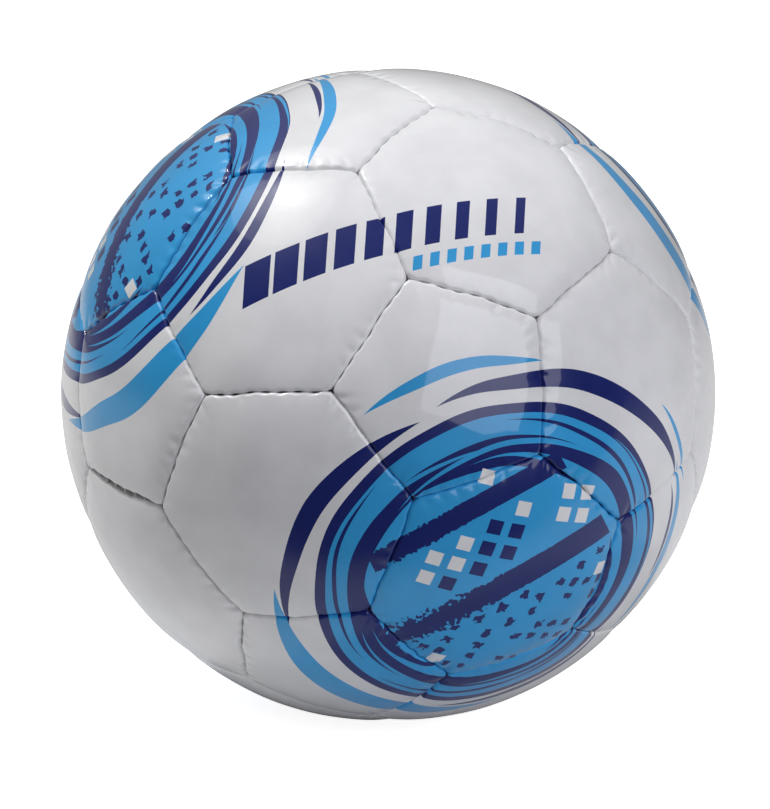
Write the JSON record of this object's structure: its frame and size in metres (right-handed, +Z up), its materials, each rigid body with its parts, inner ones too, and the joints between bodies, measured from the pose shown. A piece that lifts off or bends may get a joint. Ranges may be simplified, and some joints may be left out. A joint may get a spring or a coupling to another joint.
{
  "type": "futsal ball",
  "caption": "Hand-stitched ball of pentagon and hexagon panels over a low-bounce rubber bladder, with an inflation valve in one panel.",
  "frame": {"origin": "centre of the ball", "axes": "+Z up as the ball lies in its cradle, with the valve's panel facing mostly +Y; -Y is the printed front"},
  "size_m": [0.2006, 0.1996, 0.1994],
  "materials": {
    "panel_leather": "glossy synthetic leather, white with a printed blue and navy pattern",
    "foam_layer": "soft closed-cell foam",
    "cloth_layer": "laminated woven cloth",
    "thread": "waxed polyester thread",
    "bladder_rubber": "smooth butyl rubber",
    "patch_rubber": "matte rubber",
    "valve_rubber": "moulded rubber",
    "valve_core_rubber": "soft self-sealing rubber",
    "damping_foam": "open-cell foam"
  },
  "bodies": {
    "root": {"balance_patch": "patch_rubber", "bladder": "bladder_rubber", "damping_foam": "damping_foam", "hexagon_cloth_layers": "cloth_layer", "hexagon_foam_layers": "foam_layer", "hexagon_panel_01": "panel_leather", "hexagon_panel_02": "panel_leather", "hexagon_panel_03": "panel_leather", "hexagon_panel_04": "panel_leather", "hexagon_panel_05": "panel_leather", "hexagon_panel_06": "panel_leather", "hexagon_panel_07": "panel_leather", "hexagon_panel_08": "panel_leather", "hexagon_panel_09": "panel_leather", "hexagon_panel_10": "panel_leather", "hexagon_panel_11": "panel_leather", "hexagon_panel_12": "panel_leather", "hexagon_panel_13": "panel_leather", "hexagon_panel_14": "panel_leather", "hexagon_panel_15": "panel_leather", "hexagon_panel_16": "panel_leather", "hexagon_panel_17": "panel_leather", "hexagon_panel_18": "panel_leather", "hexagon_panel_19": "panel_leather", "hexagon_seam_thread": "thread", "hexagon_valve_panel": "panel_leather", "pentagon_cloth_layers": "cloth_layer", "pentagon_foam_layers": "foam_layer", "pentagon_panel_01": "panel_leather", "pentagon_panel_02": "panel_leather", "pentagon_panel_03": "panel_leather", "pentagon_panel_04": "panel_leather", "pentagon_panel_05": "panel_leather", "pentagon_panel_06": "panel_leather", "pentagon_panel_07": "panel_leather", "pentagon_panel_08": "panel_leather", "pentagon_panel_09": "panel_leather", "pentagon_panel_10": "panel_leather", "pentagon_panel_11": "panel_leather", "pentagon_panel_12": "panel_leather", "pentagon_seam_thread": "thread", "valve_body": "valve_rubber", "valve_core": "valve_core_rubber", "valve_patch": "patch_rubber"}
  },
  "joints": []
}
